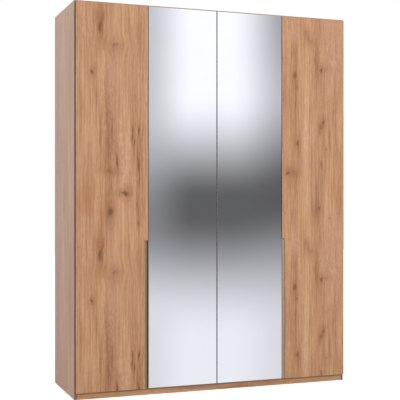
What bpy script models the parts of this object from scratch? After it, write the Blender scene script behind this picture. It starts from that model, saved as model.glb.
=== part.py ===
"""Free-standing wardrobe with four hinged doors, two of them mirrored.

Units are metres and +Z is up. The doors face -Y, and the origin is on the floor at the middle
of the footprint. Doors are numbered 1 to 4 from the left, as seen from the front.
"""

import math

import bmesh
import bpy
from mathutils import Matrix, Vector

# Overall size, with the doors closed
WIDTH = 1.79
DEPTH = 0.59
HEIGHT = 2.36

# Carcass boards
BOARD = 0.016
BACK_BOARD = 0.003
PLINTH_HEIGHT = 0.030
REAR_PLINTH_INSET = 0.020
SHELF_TOP = 1.996
SHELF_FRONT_INSET = 0.024
SHELF_SIDE_CLEARANCE = 0.0008
BACK_INSET = 0.001
FIT = 0.0003

# Doors
DOOR_COUNT = 4
DOOR_THICKNESS = 0.019
DOOR_TO_CARCASS = 0.002
DOOR_GAP = 0.003
SIDE_REVEAL = 0.0055
DOOR_BOTTOM = 0.041
DOOR_TOP = 2.352
MIRROR_THICKNESS = 0.004
MIRROR_INSET = 0.002

# Finger grip: a cove along the free edge of each wooden door, lined with a metal profile
GRIP_WIDTH = 0.020
GRIP_DEPTH = 0.014
GRIP_SAG = 0.0035
GRIP_TOP = 0.936
GRIP_METAL = 0.0012
GRIP_STEPS = 10

# Hinges. Door axes: x runs from the hinge edge to the free edge, y from the front face backwards
HINGES_PER_DOOR = 4
HINGE_END_DISTANCE = 0.095
PIVOT_X = 0.005
PIVOT_Y = 0.0035
CUP_EDGE_DISTANCE = 0.0225
CUP_RADIUS = 0.0172
CUP_DEPTH = 0.0115
CUP_WALL = 0.0012
CUP_RIM_RADIUS = 0.0185
CUP_RIM_THICKNESS = 0.0009
CUP_SEGMENTS = 24
CUP_WING_WIDTH = 0.013
CUP_WING_LENGTH = 0.056
BORE_DEPTH = 0.012
ARM_NEAR_X = 0.0225
ARM_FAR_X = 0.030
ARM_TIP_Y = 0.0096
ARM_REAR_Y = 0.084
ARM_REAR_X = 0.026
ARM_HEIGHT = 0.014
PLATE_Y = 0.058
PLATE_WIDTH = 0.022
PLATE_LENGTH = 0.048
PLATE_THICKNESS = 0.002

# Clothes rails: oval tubes in screwed sockets
RAIL_Z = 1.915
RAIL_Y = 0.005
RAIL_TALL = 0.030
RAIL_WIDE = 0.015
RAIL_WALL = 0.001
SOCKET_FLANGE = 0.0025
SOCKET_REACH = 0.013
SOCKET_WALL = 0.002
SOCKET_LIP = 0.007
OVAL_STEPS = 6

# Positions that follow from the sizes above
FRONT_Y = -DEPTH / 2
BACK_Y = DEPTH / 2
DOOR_BACK_Y = FRONT_Y + DOOR_THICKNESS
CARCASS_FRONT_Y = DOOR_BACK_Y + DOOR_TO_CARCASS
BOARD_BACK_Y = BACK_Y - BACK_BOARD - FIT
SIDE_INNER_X = WIDTH / 2 - BOARD
HALF_PARTITION = BOARD / 2
DOOR_SPAN = WIDTH - 2 * SIDE_REVEAL - (DOOR_COUNT - 1) * DOOR_GAP
DOOR_WIDTH = DOOR_SPAN / DOOR_COUNT
CUP_BACK_Y = DOOR_THICKNESS + FIT

# Points closer than this are welded into one
WELD_DISTANCE = 0.00002
AXIS_MARK_SIZE = 0.05

COLLECTION_NAME = "wardrobe"
CUTTER_COLLECTION_NAME = "wardrobe_cutters"


def clear_scene():
    """Remove the objects and unused data of the open scene."""
    for item in list(bpy.data.objects):
        bpy.data.objects.remove(item, do_unlink=True)
    for mesh in list(bpy.data.meshes):
        bpy.data.meshes.remove(mesh)
    for curve in list(bpy.data.curves):
        bpy.data.curves.remove(curve)


def make_collection(name):
    """Return a new collection linked to the scene."""
    collection = bpy.data.collections.new(name)
    bpy.context.scene.collection.children.link(collection)
    return collection


def make_material(name, colour, roughness, metallic):
    """Return a plain Principled material."""
    material = bpy.data.materials.new(name)
    material.use_nodes = True
    shader = material.node_tree.nodes["Principled BSDF"]
    shader.inputs["Base Color"].default_value = (*colour, 1.0)
    shader.inputs["Roughness"].default_value = roughness
    shader.inputs["Metallic"].default_value = metallic
    material.diffuse_color = (*colour, 1.0)
    return material


clear_scene()
PARTS = make_collection(COLLECTION_NAME)
CUTTERS = make_collection(CUTTER_COLLECTION_NAME)

FINISHES = {
    "oak_decor": ((0.51, 0.28, 0.16), 0.50, 0.0),
    "interior_decor": ((0.62, 0.58, 0.52), 0.60, 0.0),
    "hardboard": ((0.66, 0.62, 0.56), 0.65, 0.0),
    "mirror_glass": ((0.90, 0.91, 0.92), 0.02, 1.0),
    "grip_metal": ((0.33, 0.27, 0.22), 0.35, 1.0),
    "hinge_steel": ((0.62, 0.62, 0.63), 0.30, 1.0),
    "rail_metal": ((0.70, 0.70, 0.71), 0.22, 1.0),
    "socket_plastic": ((0.55, 0.55, 0.56), 0.45, 0.0),
}


def add_part(name, mesh, finish, location=(0, 0, 0), parent=None, turned=False):
    """Add one named piece with a material of its own; turned swings it half round the Y axis."""
    colour, roughness, metallic = FINISHES[finish]
    part = bpy.data.objects.new(name, mesh)
    part.location = location
    part.rotation_euler = (0, math.pi if turned else 0, 0)
    part.parent = parent
    PARTS.objects.link(part)
    material = make_material(name + "_" + finish, colour, roughness, metallic)
    if not mesh.materials:
        mesh.materials.append(material)
    part.material_slots[0].link = "OBJECT"
    part.material_slots[0].material = material
    return part


def mesh_from_bmesh(name, shape):
    """Turn a bmesh into mesh data with its faces pointing out."""
    bmesh.ops.recalc_face_normals(shape, faces=shape.faces)
    mesh = bpy.data.meshes.new(name)
    shape.to_mesh(mesh)
    shape.free()
    return mesh


def box_mesh(name, low, high):
    """Box between two corners, given in the piece's own axes."""
    low = Vector(low)
    high = Vector(high)
    size = high - low
    shape = bmesh.new()
    bmesh.ops.create_cube(shape, size=1.0)
    bmesh.ops.scale(shape, vec=size, verts=shape.verts)
    bmesh.ops.translate(shape, vec=(low + high) / 2, verts=shape.verts)
    return mesh_from_bmesh(name, shape)


def evaluated_mesh(item):
    """Mesh data of an object with its modifiers applied, in the object's own axes."""
    bpy.context.view_layer.update()
    depsgraph = bpy.context.evaluated_depsgraph_get()
    return bpy.data.meshes.new_from_object(item.evaluated_get(depsgraph))


def prism_mesh(name, outlines, low, high):
    """Flat outline in the XY plane, with any later outlines as holes, from height low to high."""
    curve = bpy.data.curves.new(name, "CURVE")
    curve.dimensions = "2D"
    curve.fill_mode = "BOTH"
    curve.extrude = (high - low) / 2
    for outline in outlines:
        spline = curve.splines.new("POLY")
        spline.points.add(len(outline) - 1)
        for point, (x, y) in zip(spline.points, outline):
            point.co = (x, y, 0, 1)
        spline.use_cyclic_u = True
    item = bpy.data.objects.new(name, curve)
    PARTS.objects.link(item)
    raw = evaluated_mesh(item)
    bpy.data.objects.remove(item, do_unlink=True)
    bpy.data.curves.remove(curve)
    shape = bmesh.new()
    shape.from_mesh(raw)
    bpy.data.meshes.remove(raw)
    bmesh.ops.remove_doubles(shape, verts=shape.verts, dist=WELD_DISTANCE)
    bmesh.ops.translate(shape, vec=(0, 0, (low + high) / 2), verts=shape.verts)
    return mesh_from_bmesh(name, shape)


def combined_mesh(name, base_mesh, steps):
    """Cut or join base_mesh with a list of (operation, mesh) steps, and return the result."""
    base = bpy.data.objects.new(name, base_mesh)
    PARTS.objects.link(base)
    helpers = []
    for index, (operation, tool_mesh) in enumerate(steps):
        helper = add_cutter(f"{name}_tool_{index}", tool_mesh)
        add_boolean(base, helper, operation)
        helpers.append(helper)
    result = evaluated_mesh(base)
    result.name = name
    for item in [base, *helpers]:
        bpy.data.objects.remove(item, do_unlink=True)
    return result


def add_cutter(name, mesh, location=(0, 0, 0), parent=None):
    """Add a hidden helper object that a Boolean modifier uses."""
    cutter = bpy.data.objects.new(name, mesh)
    cutter.location = location
    cutter.parent = parent
    cutter.hide_render = True
    cutter.display_type = "WIRE"
    CUTTERS.objects.link(cutter)
    return cutter


def add_boolean(part, tool, operation="DIFFERENCE"):
    """Cut or join part with tool."""
    modifier = part.modifiers.new(operation.lower(), "BOOLEAN")
    modifier.operation = operation
    modifier.solver = "EXACT"
    modifier.object = tool


def cylinder_mesh(name, radius, low_y, high_y, segments):
    """Cylinder along the Y axis between two depths."""
    shape = bmesh.new()
    bmesh.ops.create_cone(
        shape,
        cap_ends=True,
        segments=segments,
        radius1=radius,
        radius2=radius,
        depth=high_y - low_y,
        matrix=Matrix.Translation((0, (low_y + high_y) / 2, 0)) @ Matrix.Rotation(-math.pi / 2, 4, "X"),
    )
    return mesh_from_bmesh(name, shape)


# Carcass ---------------------------------------------------------------------------------------


def add_board(name, low, high, finish):
    """Add a flat board between two world corners, with its origin at its middle."""
    centre = (Vector(low) + Vector(high)) / 2
    mesh = box_mesh(name, Vector(low) - centre, Vector(high) - centre)
    return add_part(name, mesh, finish, centre)


def build_sides():
    """Outer sides and the centre partition, which stands behind the full-width front plinth."""
    for name, side in (("left_side_panel", -1), ("right_side_panel", 1)):
        outer_x = side * WIDTH / 2
        inner_x = side * SIDE_INNER_X
        low = (min(outer_x, inner_x), CARCASS_FRONT_Y, 0)
        high = (max(outer_x, inner_x), BOARD_BACK_Y, HEIGHT)
        add_board(name, low, high, "oak_decor")

    low = (-HALF_PARTITION, CARCASS_FRONT_Y, 0)
    high = (HALF_PARTITION, BOARD_BACK_Y, HEIGHT)
    partition = add_board("centre_partition", low, high, "oak_decor")
    notch_low = (-BOARD, CARCASS_FRONT_Y - BOARD, -BOARD)
    notch_high = (BOARD, CARCASS_FRONT_Y + BOARD + FIT, PLINTH_HEIGHT + FIT)
    notch = add_cutter("partition_notch", box_mesh("partition_notch", notch_low, notch_high))
    add_boolean(partition, notch)


def compartment_x(side, clearance=FIT):
    """Lowest and highest X of the compartment on one side (-1 left, 1 right)."""
    near = side * (HALF_PARTITION + clearance)
    far = side * (SIDE_INNER_X - clearance)
    return min(near, far), max(near, far)


def build_compartments():
    """Boards between the sides and the partition, one set for each compartment."""
    for label, side in (("left", -1), ("right", 1)):
        low_x, high_x = compartment_x(side)
        add_board(
            f"{label}_top_panel",
            (low_x, CARCASS_FRONT_Y, HEIGHT - BOARD),
            (high_x, BOARD_BACK_Y, HEIGHT),
            "oak_decor",
        )
        bottom_z = PLINTH_HEIGHT + FIT
        add_board(
            f"{label}_bottom_panel",
            (low_x, CARCASS_FRONT_Y, bottom_z),
            (high_x, BOARD_BACK_Y, bottom_z + BOARD),
            "interior_decor",
        )
        rear_plinth_y = BOARD_BACK_Y - REAR_PLINTH_INSET
        add_board(
            f"{label}_rear_plinth",
            (low_x, rear_plinth_y - BOARD, 0),
            (high_x, rear_plinth_y, PLINTH_HEIGHT),
            "interior_decor",
        )
        shelf_low_x, shelf_high_x = compartment_x(side, SHELF_SIDE_CLEARANCE)
        add_board(
            f"{label}_hat_shelf",
            (shelf_low_x, CARCASS_FRONT_Y + SHELF_FRONT_INSET, SHELF_TOP - BOARD),
            (shelf_high_x, BOARD_BACK_Y, SHELF_TOP),
            "interior_decor",
        )
        back_near = side * FIT / 2
        back_far = side * (WIDTH / 2 - BACK_INSET)
        add_board(
            f"{label}_back_panel",
            (min(back_near, back_far), BACK_Y - BACK_BOARD, BACK_INSET),
            (max(back_near, back_far), BACK_Y, HEIGHT - BACK_INSET),
            "hardboard",
        )


def build_front_plinth():
    """One plinth board across the whole front, between the sides."""
    add_board(
        "front_plinth",
        (-SIDE_INNER_X + FIT, CARCASS_FRONT_Y, 0),
        (SIDE_INNER_X - FIT, CARCASS_FRONT_Y + BOARD, PLINTH_HEIGHT),
        "oak_decor",
    )


# Clothes rails ---------------------------------------------------------------------------------


def oval(tall, wide):
    """Upright oval outline with straight flanks, anticlockwise, as (x, y) points."""
    radius = wide / 2
    straight = tall / 2 - radius
    points = []
    for centre_y, start in ((straight, 0.0), (-straight, math.pi)):
        for step in range(OVAL_STEPS + 1):
            angle = start + math.pi * step / OVAL_STEPS
            points.append((radius * math.cos(angle), centre_y + radius * math.sin(angle)))
    return points


def along_x(mesh):
    """Turn a prism that stands on the XY plane so that it runs along +X with its tall side up."""
    swing = Matrix(((0, 0, 1, 0), (1, 0, 0, 0), (0, 1, 0, 0), (0, 0, 0, 1)))
    mesh.transform(swing)
    return mesh


def build_rails():
    """An oval rail in each compartment, held by a socket at either end."""
    outer = oval(RAIL_TALL, RAIL_WIDE)
    inner = oval(RAIL_TALL - 2 * RAIL_WALL, RAIL_WIDE - 2 * RAIL_WALL)
    collar_hole = oval(RAIL_TALL + 2 * FIT, RAIL_WIDE + 2 * FIT)
    collar_size = 2 * (FIT + SOCKET_WALL)
    collar = oval(RAIL_TALL + collar_size, RAIL_WIDE + collar_size)
    flange_size = collar_size + 2 * SOCKET_LIP
    flange = oval(RAIL_TALL + flange_size, RAIL_WIDE + flange_size)

    flange_mesh = prism_mesh("socket_flange", [flange], 0, SOCKET_FLANGE)
    collar_mesh = prism_mesh("socket_collar", [collar, collar_hole], SOCKET_FLANGE / 2, SOCKET_REACH)
    hollow_mesh = prism_mesh("socket_hollow", [collar_hole], SOCKET_FLANGE, SOCKET_REACH + BOARD)
    steps = [("UNION", collar_mesh), ("DIFFERENCE", hollow_mesh)]
    socket_mesh = along_x(combined_mesh("rail_socket", flange_mesh, steps))

    number = 0
    for label, side in (("left", -1), ("right", 1)):
        low_x, high_x = compartment_x(side)
        rail_low = low_x + SOCKET_FLANGE + FIT
        rail_high = high_x - SOCKET_FLANGE - FIT
        rail_mesh = along_x(prism_mesh(f"{label}_clothes_rail", [outer, inner], rail_low, rail_high))
        middle = Vector(((rail_low + rail_high) / 2, 0, 0))
        rail_mesh.transform(Matrix.Translation(-middle))
        rail_place = middle + Vector((0, RAIL_Y, RAIL_Z))
        add_part(f"{label}_clothes_rail", rail_mesh, "rail_metal", rail_place)
        for x, turned in ((low_x, False), (high_x, True)):
            number += 1
            place = (x, RAIL_Y, RAIL_Z)
            add_part(f"rail_socket_{number}", socket_mesh, "socket_plastic", place, turned=turned)


# Doors -----------------------------------------------------------------------------------------


def door_places():
    """For each door: number, X of its hinge edge, and the direction to its free edge."""
    places = []
    for index in range(DOOR_COUNT):
        left_x = -WIDTH / 2 + SIDE_REVEAL + index * (DOOR_WIDTH + DOOR_GAP)
        hinged_left = index % 2 == 0
        hinge_x = left_x if hinged_left else left_x + DOOR_WIDTH
        places.append((index + 1, hinge_x, 1 if hinged_left else -1))
    return places


def hinge_heights():
    """Heights of the hinges, evenly spaced between the end ones."""
    first = DOOR_BOTTOM + HINGE_END_DISTANCE
    last = DOOR_TOP - HINGE_END_DISTANCE
    spacing = (last - first) / (HINGES_PER_DOOR - 1)
    return [first + index * spacing for index in range(HINGES_PER_DOOR)]


def add_pivot(number, hinge_x, direction):
    """Empty on a door's hinge axis, at floor level."""
    pivot = bpy.data.objects.new(f"door_{number}_axis", None)
    pivot.empty_display_size = AXIS_MARK_SIZE
    pivot.location = (hinge_x + direction * PIVOT_X, FRONT_Y + PIVOT_Y, 0)
    PARTS.objects.link(pivot)
    return pivot


def door_box(name, direction, low, high):
    """Box given in door axes, in the axes of the door's pivot."""
    x_values = sorted(direction * (x - PIVOT_X) for x in (low[0], high[0]))
    box_low = (x_values[0], low[1] - PIVOT_Y, low[2])
    box_high = (x_values[1], high[1] - PIVOT_Y, high[2])
    return box_mesh(name, box_low, box_high)


def grip_arc(extra_radius, reach_front=0.0, reach_edge=0.0):
    """Points of the cove in door axes, from the front face to the free edge.

    The cove is an arc whose middle lies outside the door. extra_radius takes it deeper, and the
    two reaches carry its ends past the front face and past the free edge.
    """
    start = Vector((DOOR_WIDTH - GRIP_WIDTH, 0.0))
    end = Vector((DOOR_WIDTH, GRIP_DEPTH))
    chord = end - start
    outward = Vector((chord.y, -chord.x)).normalized()
    radius = (chord.length_squared / 4 + GRIP_SAG**2) / (2 * GRIP_SAG)
    centre = (start + end) / 2 + outward * (radius - GRIP_SAG)
    radius += extra_radius
    first = math.pi - math.asin((-reach_front - centre.y) / radius)
    last = math.acos((DOOR_WIDTH + reach_edge - centre.x) / radius)
    points = []
    for step in range(GRIP_STEPS + 1):
        angle = first + (last - first) * step / GRIP_STEPS
        points.append((centre.x + radius * math.cos(angle), centre.y + radius * math.sin(angle)))
    return points


def to_pivot_axes(points, direction):
    """Move door-axis points to the pivot's axes."""
    return [(direction * (x - PIVOT_X), y - PIVOT_Y) for x, y in points]


def add_grip(number, direction, panel, pivot):
    """Cut the cove into a wooden door and line it with the metal profile."""
    deep = grip_arc(GRIP_METAL + FIT, reach_front=GRIP_METAL, reach_edge=GRIP_METAL)
    corner = (deep[-1][0], deep[0][1])
    cut_outline = to_pivot_axes([*deep, corner], direction)
    cutter_mesh = prism_mesh(f"grip_cut_{number}", [cut_outline], DOOR_BOTTOM - BOARD, GRIP_TOP)
    cutter = add_cutter(f"grip_cut_{number}", cutter_mesh, parent=pivot)
    add_boolean(panel, cutter)

    profile = [*grip_arc(0.0), *reversed(grip_arc(GRIP_METAL))]
    outline = to_pivot_axes(profile, direction)
    profile_mesh = prism_mesh(f"door_{number}_grip", [outline], DOOR_BOTTOM, GRIP_TOP - FIT)
    grip = add_part(f"door_{number}_grip", profile_mesh, "grip_metal", parent=pivot)
    grip.data.shade_smooth()
    grip.data.set_sharp_from_angle(angle=math.radians(30))


def cut_bores(number, direction, panel, pivot, heights):
    """Blind bores for the hinge cups, in the back of a door."""
    radius = CUP_RADIUS + FIT
    low_y = DOOR_THICKNESS - BORE_DEPTH - PIVOT_Y
    high_y = DOOR_THICKNESS + BORE_DEPTH - PIVOT_Y
    bore = cylinder_mesh("cup_bore", radius, low_y, high_y, CUP_SEGMENTS)
    for index, height in enumerate(heights):
        place = (direction * (CUP_EDGE_DISTANCE - PIVOT_X), 0, height)
        cutter = add_cutter(f"cup_bore_{number}_{index + 1}", bore, place, pivot)
        add_boolean(panel, cutter)


def build_door(number, hinge_x, direction, mirrored):
    """One door: a wooden panel with a grip, or a carrier board with a mirror on its front."""
    pivot = add_pivot(number, hinge_x, direction)
    heights = hinge_heights()
    front_y = MIRROR_THICKNESS + FIT if mirrored else 0.0
    name = f"door_{number}_carrier" if mirrored else f"door_{number}_panel"
    low = (0, front_y, DOOR_BOTTOM)
    high = (DOOR_WIDTH, DOOR_THICKNESS, DOOR_TOP)
    panel = add_part(name, door_box(name, direction, low, high), "oak_decor", parent=pivot)
    cut_bores(number, direction, panel, pivot, heights)
    if mirrored:
        mirror_low = (MIRROR_INSET, 0, DOOR_BOTTOM + MIRROR_INSET)
        mirror_high = (DOOR_WIDTH - MIRROR_INSET, MIRROR_THICKNESS, DOOR_TOP - MIRROR_INSET)
        mirror_name = f"door_{number}_mirror"
        mirror_mesh = door_box(mirror_name, direction, mirror_low, mirror_high)
        add_part(mirror_name, mirror_mesh, "mirror_glass", parent=pivot)
    else:
        add_grip(number, direction, panel, pivot)
    return pivot


# Hinges ----------------------------------------------------------------------------------------


def hinge_cup_mesh():
    """Turned cup with a rim and two screw wings, opening towards +Y.

    Its origin is on the cup's axis at the level of the rim's seat.
    """
    inner = CUP_RADIUS - CUP_WALL
    floor = -CUP_DEPTH
    profile = [
        (0.0, floor + CUP_WALL),
        (inner, floor + CUP_WALL),
        (inner, CUP_RIM_THICKNESS),
        (CUP_RIM_RADIUS, CUP_RIM_THICKNESS),
        (CUP_RIM_RADIUS, 0.0),
        (CUP_RADIUS, 0.0),
        (CUP_RADIUS, floor),
        (0.0, floor),
    ]
    mesh = bpy.data.meshes.new("cup_profile")
    edges = [(index, index + 1) for index in range(len(profile) - 1)]
    mesh.from_pydata([(x, 0.0, z) for x, z in profile], edges, [])
    item = bpy.data.objects.new("cup_profile", mesh)
    PARTS.objects.link(item)
    screw = item.modifiers.new("turn", "SCREW")
    screw.steps = CUP_SEGMENTS
    screw.render_steps = CUP_SEGMENTS
    screw.use_merge_vertices = True
    screw.merge_threshold = WELD_DISTANCE
    turned = evaluated_mesh(item)
    bpy.data.objects.remove(item, do_unlink=True)
    turned.transform(Matrix.Rotation(-math.pi / 2, 4, "X"))

    half_wing = CUP_WING_WIDTH / 2
    half_length = CUP_WING_LENGTH / 2
    wing_low = (-half_wing, 0.0, -half_length)
    wing_high = (half_wing, CUP_RIM_THICKNESS, half_length)
    wing = box_mesh("cup_wing", wing_low, wing_high)
    hollow = cylinder_mesh("cup_hollow", inner, floor + CUP_WALL, CUP_WALL + CUP_DEPTH, CUP_SEGMENTS)
    return combined_mesh("hinge_cup", turned, [("UNION", wing), ("DIFFERENCE", hollow)])


def hinge_arm_mesh(name, face_x):
    """Hinge arm with its mounting plate, in door axes, for a panel face at face_x.

    The arm stands off the panel, reaches forward past its front edge, and ends in the cup.
    """
    seat_x = face_x + FIT
    plate_low_y = PLATE_Y - PLATE_WIDTH / 2
    throat_y = plate_low_y - (ARM_NEAR_X - seat_x) / 2
    outline = [
        (ARM_NEAR_X, ARM_TIP_Y),
        (ARM_FAR_X, ARM_TIP_Y),
        (ARM_FAR_X, PLATE_Y - PLATE_WIDTH),
        (ARM_REAR_X, ARM_REAR_Y),
        (seat_x, ARM_REAR_Y),
        (seat_x, plate_low_y),
        (ARM_NEAR_X, throat_y),
    ]
    arm = prism_mesh(name, [outline], -ARM_HEIGHT / 2, ARM_HEIGHT / 2)
    plate_low = (seat_x, plate_low_y, -PLATE_LENGTH / 2)
    plate_high = (seat_x + PLATE_THICKNESS, plate_low_y + PLATE_WIDTH, PLATE_LENGTH / 2)
    return combined_mesh(name, arm, [("UNION", box_mesh("mounting_plate", plate_low, plate_high))])


def build_hinges(pivots):
    """Cups in the doors and arms on the carcass, four for each door."""
    cup_mesh = hinge_cup_mesh()
    side_face = BOARD - SIDE_REVEAL
    partition_face = HALF_PARTITION - DOOR_GAP / 2
    side_arm = hinge_arm_mesh("side_hinge_arm", side_face)
    partition_arm = hinge_arm_mesh("partition_hinge_arm", partition_face)
    for number, hinge_x, direction in door_places():
        outer_door = number in (1, DOOR_COUNT)
        arm_mesh = side_arm if outer_door else partition_arm
        turned = direction < 0
        for index, height in enumerate(hinge_heights()):
            cup_x = direction * (CUP_EDGE_DISTANCE - PIVOT_X)
            cup_place = (cup_x, CUP_BACK_Y - PIVOT_Y, height)
            cup_name = f"door_{number}_hinge_cup_{index + 1}"
            add_part(cup_name, cup_mesh, "hinge_steel", cup_place, pivots[number], turned)
            arm_name = f"door_{number}_hinge_arm_{index + 1}"
            add_part(arm_name, arm_mesh, "hinge_steel", (hinge_x, FRONT_Y, height), turned=turned)


build_sides()
build_compartments()
build_front_plinth()
build_rails()
door_pivots = {}
for door_number, door_hinge_x, door_direction in door_places():
    is_mirrored = door_number in (2, 3)
    door_pivots[door_number] = build_door(door_number, door_hinge_x, door_direction, is_mirrored)
build_hinges(door_pivots)
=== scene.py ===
"""Looks for a four-door wardrobe: oak decor, mirrors, metal grips, fittings, camera and light.

Metres, +Z up, doors facing -Y. The pieces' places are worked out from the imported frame.
"""

import math

import bmesh
import bpy
from mathutils import Matrix, Vector


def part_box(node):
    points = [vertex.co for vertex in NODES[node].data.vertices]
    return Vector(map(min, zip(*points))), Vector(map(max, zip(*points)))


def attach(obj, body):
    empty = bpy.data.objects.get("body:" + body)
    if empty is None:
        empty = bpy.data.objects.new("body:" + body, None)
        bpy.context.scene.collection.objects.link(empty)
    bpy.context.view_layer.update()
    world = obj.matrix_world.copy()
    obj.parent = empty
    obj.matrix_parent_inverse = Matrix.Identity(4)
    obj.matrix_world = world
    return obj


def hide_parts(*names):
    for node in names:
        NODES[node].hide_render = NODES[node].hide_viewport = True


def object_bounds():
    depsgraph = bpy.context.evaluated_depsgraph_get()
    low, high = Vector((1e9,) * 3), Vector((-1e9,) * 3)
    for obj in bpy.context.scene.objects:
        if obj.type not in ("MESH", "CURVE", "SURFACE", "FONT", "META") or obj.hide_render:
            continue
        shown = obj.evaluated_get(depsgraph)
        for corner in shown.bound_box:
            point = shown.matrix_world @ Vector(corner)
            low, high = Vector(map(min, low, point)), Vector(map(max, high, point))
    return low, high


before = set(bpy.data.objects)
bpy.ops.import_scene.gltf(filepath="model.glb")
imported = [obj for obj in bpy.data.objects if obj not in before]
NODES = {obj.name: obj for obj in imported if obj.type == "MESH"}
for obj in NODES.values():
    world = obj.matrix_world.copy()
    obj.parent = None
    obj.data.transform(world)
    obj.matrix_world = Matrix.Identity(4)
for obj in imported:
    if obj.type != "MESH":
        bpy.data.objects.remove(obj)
CAD_LOW, CAD_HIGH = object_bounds()

X_AXIS, Y_AXIS, Z_AXIS = 0, 1, 2
DOORS = (1, 2, 3, 4)
MIRROR_DOORS = (2, 3)
HINGES = (1, 2, 3, 4)
RAIL_SOCKETS = (1, 2, 3, 4)

# Camera: in front of the left corner, level with the middle of the doors
CAMERA_PLACE = (-2.108, -5.670, 1.180)
CAMERA_TURN = 20.37
CAMERA_LENS = 83.7
CAMERA_SENSOR = 36.0
CAMERA_REACH = 60.0

# Display colour of the even light from all round
FILL_LIGHT = (243, 243, 244)
# How much brighter the studio is in satin reflections
SHEEN_LIGHT = 1.35
# How blue the wall is that the mirrors reflect
WALL_TINT = (1.0, 1.0, 1.06, 1.0)
WHITE = (1.0, 1.0, 1.0, 1.0)
# Height of the ceiling that the mirrors reflect
CEILING_DEGREES = 11.0
# Bearings in degrees over which the wall turns from its left part to its centre, and to its right
LEFT_BEARINGS = (17.0, 20.0)
RIGHT_BEARINGS = (22.2, 25.9)
# Directions along Y over which the wall ends and the white room behind it starts
WALL_END = (-0.75, -0.35)
# Softbox, and the point that it is aimed at
SOFTBOX_PLACE = (0.4, -5.2, 2.0)
SOFTBOX_TARGET = (0, 0, 1.0)
SOFTBOX_SIZE = (2.2, 2.2)
SOFTBOX_POWER = 76.0
# Floor: half its size, its drop below the feet, and how much it glows
FLOOR_REACH = 14.0
FLOOR_DROP = 0.0005
FLOOR_GLOW = 0.55

# CAD nodes: rounding of board edges, of mirrors and of thin or fitted pieces
EDGE_ROUNDING = 0.0005
MIRROR_ROUNDING = 0.0008
FINE_ROUNDING = 0.0002
# Points nearer than this are one, and edges sharper than this are rounded
WELD_REACH = 0.00002
ROUNDED_DEGREES = 40


# Node helpers --------------------------

# Sockets of a colour Mix node
FIRST_COLOUR, SECOND_COLOUR, MIXED_COLOUR = 6, 7, 2
# A face points along an axis where that part of its normal is past this
FACES_AXIS = 0.60


def display(red, green, blue):
    """Linear colour of a display colour given from 0 to 255."""
    channels = []
    for channel in (red, green, blue):
        share = channel / 255
        channels.append(share / 12.92 if share <= 0.04045 else ((share + 0.055) / 1.055) ** 2.4)
    return (*channels, 1.0)


class Graph:
    """Short calls for building a node tree."""

    def __init__(self, tree):
        self.tree = tree

    def node(self, kind, **settings):
        made = self.tree.nodes.new(kind)
        for key, value in settings.items():
            setattr(made, key, value)
        return made

    def feed(self, socket, value):
        """Link a socket into an input, or set a plain value on it."""
        if isinstance(value, bpy.types.NodeSocket):
            self.tree.links.new(value, socket)
        else:
            socket.default_value = value

    def fill(self, made, *values, **named):
        """Feed a node's inputs in order or by name, and return its first output."""
        for socket, value in zip(made.inputs, values):
            self.feed(socket, value)
        for key, value in named.items():
            self.feed(made.inputs[key.replace("_", " ")], value)
        return made.outputs[0]

    def math(self, operation, *values):
        return self.fill(self.node("ShaderNodeMath", operation=operation), *values)

    def add(self, *values):
        total = values[0]
        for value in values[1:]:
            total = self.math("ADD", total, value)
        return total

    def times(self, first, second):
        return self.math("MULTIPLY", first, second)

    def linear(self, value, gain, offset):
        """value * gain + offset."""
        return self.math("MULTIPLY_ADD", value, gain, offset)

    def scaled(self, value, centre, gain):
        """(value - centre) * gain."""
        return self.linear(value, gain, -centre * gain)

    def combine(self, x, y, z):
        return self.fill(self.node("ShaderNodeCombineXYZ"), x, y, z)

    def separate(self, vector):
        made = self.node("ShaderNodeSeparateXYZ")
        self.feed(made.inputs[0], vector)
        return made.outputs

    def noise(self, vector, scale=1.0, detail=2.0, roughness=0.5):
        made = self.node("ShaderNodeTexNoise", noise_dimensions="3D")
        return self.fill(made, Vector=vector, Scale=scale, Detail=detail, Roughness=roughness)

    def above(self, value, limit):
        return self.math("GREATER_THAN", value, limit)

    def below(self, value, limit):
        return self.math("LESS_THAN", value, limit)

    def size(self, value):
        return self.math("ABSOLUTE", value)

    def ramp(self, value, stops):
        """Colour for a value, from stops of (value, display colour)."""
        made = self.node("ShaderNodeValToRGB")
        self.feed(made.inputs[0], value)
        elements = made.color_ramp.elements
        while len(elements) < len(stops):
            elements.new(0.5)
        for element, (place, colour) in zip(elements, stops):
            element.position = place
            element.color = display(*colour)
        return made.outputs[0]

    def mix(self, share, first, second, blend="MIX"):
        made = self.node("ShaderNodeMix", data_type="RGBA", blend_type=blend)
        self.feed(made.inputs["Factor"], share)
        self.feed(made.inputs[FIRST_COLOUR], first)
        self.feed(made.inputs[SECOND_COLOUR], second)
        return made.outputs[MIXED_COLOUR]

    def smooth(self, value, low, high):
        """0 below low, 1 above high, and smooth between them."""
        made = self.node("ShaderNodeMapRange", interpolation_type="SMOOTHSTEP")
        return self.fill(made, value, low, high)

    def between(self, value, low, high, new_low, new_high):
        """The value's place between low and high, moved to between new_low and new_high."""
        return self.fill(self.node("ShaderNodeMapRange"), value, low, high, new_low, new_high)

    def bump(self, height, strength, distance):
        made = self.node("ShaderNodeBump")
        return self.fill(made, Strength=strength, Distance=distance, Height=height)


def new_material(name):
    """Material with its graph and its Principled shader."""
    material = bpy.data.materials.new(name)
    material.use_nodes = True
    return material, Graph(material.node_tree), material.node_tree.nodes["Principled BSDF"]


def feed_look(graph, shader, colour, roughness, height, strength, distance):
    """Feed a shader its colour and roughness, and a bump of this strength and distance."""
    relief = graph.bump(height, strength, distance)
    graph.fill(shader, Base_Color=colour, Roughness=roughness, Normal=relief)


# Wood decor ----------------------------

# The print repeats along the grain
DECOR_REPEAT = 1.355

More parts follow.
